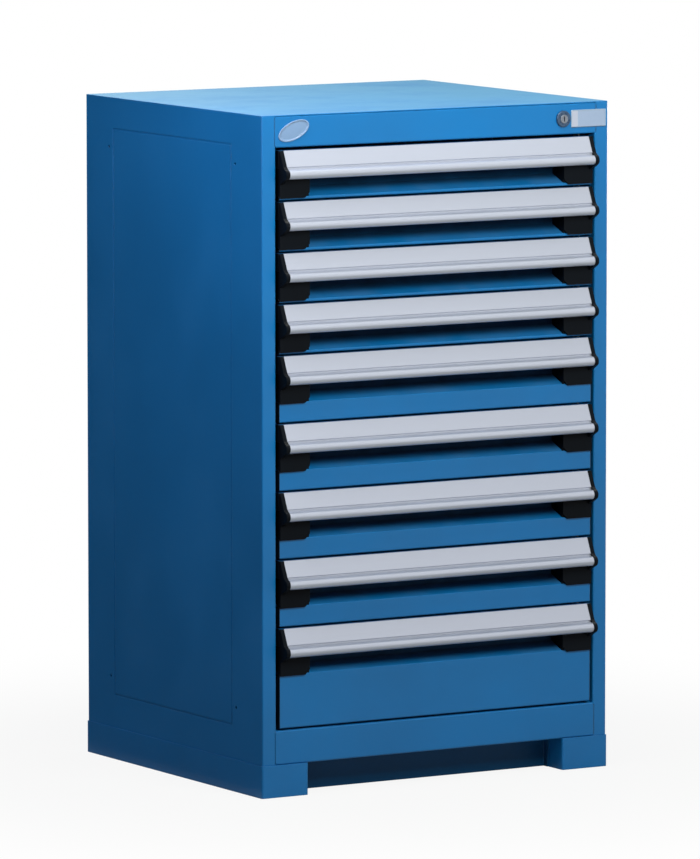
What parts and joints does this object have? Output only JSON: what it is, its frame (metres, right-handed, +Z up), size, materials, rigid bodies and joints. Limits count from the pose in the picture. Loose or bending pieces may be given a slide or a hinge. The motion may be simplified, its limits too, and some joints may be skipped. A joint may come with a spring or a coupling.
{
  "type": "modular drawer cabinet",
  "caption": "Upright sheet-metal cabinet of stacked full-extension drawers with full-width extruded handles, a central lock and a plinth.",
  "frame": {"origin": "on the floor, under the middle of the plinth", "axes": "+X to the right seen from the front, -Y out of the drawer fronts, +Z up"},
  "size_m": [0.6096, 0.5544, 1.016],
  "materials": {
    "housing_paint": "satin",
    "drawer_paint": "satin",
    "upright_paint": "satin",
    "handle_aluminium": "satin",
    "black_plastic": "matte",
    "black_rubber": "matte",
    "zinc_steel": "satin",
    "lock_chrome": "gloss",
    "badge_metal": "satin"
  },
  "bodies": {
    "cabinet": {"side_panel_left": "housing_paint", "side_panel_right": "housing_paint", "top_panel": "housing_paint", "back_panel": "housing_paint", "bottom_panel": "housing_paint", "header_rail": "housing_paint", "sill_rail": "housing_paint", "upright_front_left": "upright_paint", "upright_front_right": "upright_paint", "upright_rear_left": "upright_paint", "upright_rear_right": "upright_paint", "fixed_rails_left": "zinc_steel", "fixed_rails_right": "zinc_steel", "drawer_bumpers": "black_rubber", "base_frame": "housing_paint", "kick_plate": "housing_paint", "base_bolts": "zinc_steel", "lock_barrel": "lock_chrome", "lock_nut": "zinc_steel", "lock_bar_guides": "zinc_steel", "header_badge": "badge_metal", "label_plate": "badge_metal"},
    "carriage_1_body": {"carriage_1": "zinc_steel"},
    "drawer_1": {"drawer_1_body": "drawer_paint", "drawer_1_handle": "handle_aluminium", "drawer_1_end_caps": "black_plastic"},
    "carriage_2_body": {"carriage_2": "zinc_steel"},
    "drawer_2": {"drawer_2_body": "drawer_paint", "drawer_2_handle": "handle_aluminium", "drawer_2_end_caps": "black_plastic"},
    "carriage_3_body": {"carriage_3": "zinc_steel"},
    "drawer_3": {"drawer_3_body": "drawer_paint", "drawer_3_handle": "handle_aluminium", "drawer_3_end_caps": "black_plastic"},
    "carriage_4_body": {"carriage_4": "zinc_steel"},
    "drawer_4": {"drawer_4_body": "drawer_paint", "drawer_4_handle": "handle_aluminium", "drawer_4_end_caps": "black_plastic"},
    "carriage_5_body": {"carriage_5": "zinc_steel"},
    "drawer_5": {"drawer_5_body": "drawer_paint", "drawer_5_handle": "handle_aluminium", "drawer_5_end_caps": "black_plastic"},
    "carriage_6_body": {"carriage_6": "zinc_steel"},
    "drawer_6": {"drawer_6_body": "drawer_paint", "drawer_6_handle": "handle_aluminium", "drawer_6_end_caps": "black_plastic"},
    "carriage_7_body": {"carriage_7": "zinc_steel"},
    "drawer_7": {"drawer_7_body": "drawer_paint", "drawer_7_handle": "handle_aluminium", "drawer_7_end_caps": "black_plastic"},
    "carriage_8_body": {"carriage_8": "zinc_steel"},
    "drawer_8": {"drawer_8_body": "drawer_paint", "drawer_8_handle": "handle_aluminium", "drawer_8_end_caps": "black_plastic"},
    "carriage_9_body": {"carriage_9": "zinc_steel"},
    "drawer_9": {"drawer_9_body": "drawer_paint", "drawer_9_handle": "handle_aluminium", "drawer_9_end_caps": "black_plastic"},
    "lock_cylinder": {"lock_plug": "lock_chrome"},
    "locking_bar": {"lock_bar": "zinc_steel"}
  },
  "joints": [
    {"name": "carriage_1_slide", "type": "slide", "parent": "cabinet", "child": "carriage_1_body", "axis": [0, -1, 0], "range_m": [0, 0.2286]},
    {"name": "drawer_1_slide", "type": "slide", "parent": "carriage_1_body", "child": "drawer_1", "axis": [0, -1, 0], "range_m": [0, 0.2286]},
    {"name": "carriage_2_slide", "type": "slide", "parent": "cabinet", "child": "carriage_2_body", "axis": [0, -1, 0], "range_m": [0, 0.2286]},
    {"name": "drawer_2_slide", "type": "slide", "parent": "carriage_2_body", "child": "drawer_2", "axis": [0, -1, 0], "range_m": [0, 0.2286]},
    {"name": "carriage_3_slide", "type": "slide", "parent": "cabinet", "child": "carriage_3_body", "axis": [0, -1, 0], "range_m": [0, 0.2286]},
    {"name": "drawer_3_slide", "type": "slide", "parent": "carriage_3_body", "child": "drawer_3", "axis": [0, -1, 0], "range_m": [0, 0.2286]},
    {"name": "carriage_4_slide", "type": "slide", "parent": "cabinet", "child": "carriage_4_body", "axis": [0, -1, 0], "range_m": [0, 0.2286]},
    {"name": "drawer_4_slide", "type": "slide", "parent": "carriage_4_body", "child": "drawer_4", "axis": [0, -1, 0], "range_m": [0, 0.2286]},
    {"name": "carriage_5_slide", "type": "slide", "parent": "cabinet", "child": "carriage_5_body", "axis": [0, -1, 0], "range_m": [0, 0.2286]},
    {"name": "drawer_5_slide", "type": "slide", "parent": "carriage_5_body", "child": "drawer_5", "axis": [0, -1, 0], "range_m": [0, 0.2286]},
    {"name": "carriage_6_slide", "type": "slide", "parent": "cabinet", "child": "carriage_6_body", "axis": [0, -1, 0], "range_m": [0, 0.2286]},
    {"name": "drawer_6_slide", "type": "slide", "parent": "carriage_6_body", "child": "drawer_6", "axis": [0, -1, 0], "range_m": [0, 0.2286]},
    {"name": "carriage_7_slide", "type": "slide", "parent": "cabinet", "child": "carriage_7_body", "axis": [0, -1, 0], "range_m": [0, 0.2286]},
    {"name": "drawer_7_slide", "type": "slide", "parent": "carriage_7_body", "child": "drawer_7", "axis": [0, -1, 0], "range_m": [0, 0.2286]},
    {"name": "carriage_8_slide", "type": "slide", "parent": "cabinet", "child": "carriage_8_body", "axis": [0, -1, 0], "range_m": [0, 0.2286]},
    {"name": "drawer_8_slide", "type": "slide", "parent": "carriage_8_body", "child": "drawer_8", "axis": [0, -1, 0], "range_m": [0, 0.2286]},
    {"name": "carriage_9_slide", "type": "slide", "parent": "cabinet", "child": "carriage_9_body", "axis": [0, -1, 0], "range_m": [0, 0.2286]},
    {"name": "drawer_9_slide", "type": "slide", "parent": "carriage_9_body", "child": "drawer_9", "axis": [0, -1, 0], "range_m": [0, 0.2286]},
    {"name": "lock_bar_slide", "type": "slide", "parent": "cabinet", "child": "locking_bar", "axis": [0, 0, 1], "range_m": [0, 0.0099]},
    {"name": "lock_plug_turn", "type": "hinge", "parent": "cabinet", "child": "lock_cylinder", "pos_m": [0.2225, -0.2652, 0.9915], "axis": [0, -1, 0], "range_deg": [0, 90]}
  ],
  "couplings": [
    {"joint": "drawer_1_slide", "follows": "carriage_1_slide", "ratio": 1},
    {"joint": "drawer_2_slide", "follows": "carriage_2_slide", "ratio": 1},
    {"joint": "drawer_3_slide", "follows": "carriage_3_slide", "ratio": 1},
    {"joint": "drawer_4_slide", "follows": "carriage_4_slide", "ratio": 1},
    {"joint": "drawer_5_slide", "follows": "carriage_5_slide", "ratio": 1},
    {"joint": "drawer_6_slide", "follows": "carriage_6_slide", "ratio": 1},
    {"joint": "drawer_7_slide", "follows": "carriage_7_slide", "ratio": 1},
    {"joint": "drawer_8_slide", "follows": "carriage_8_slide", "ratio": 1},
    {"joint": "drawer_9_slide", "follows": "carriage_9_slide", "ratio": 1},
    {"joint": "lock_plug_turn", "follows": "lock_bar_slide", "rad_per_m": 158.67}
  ]
}
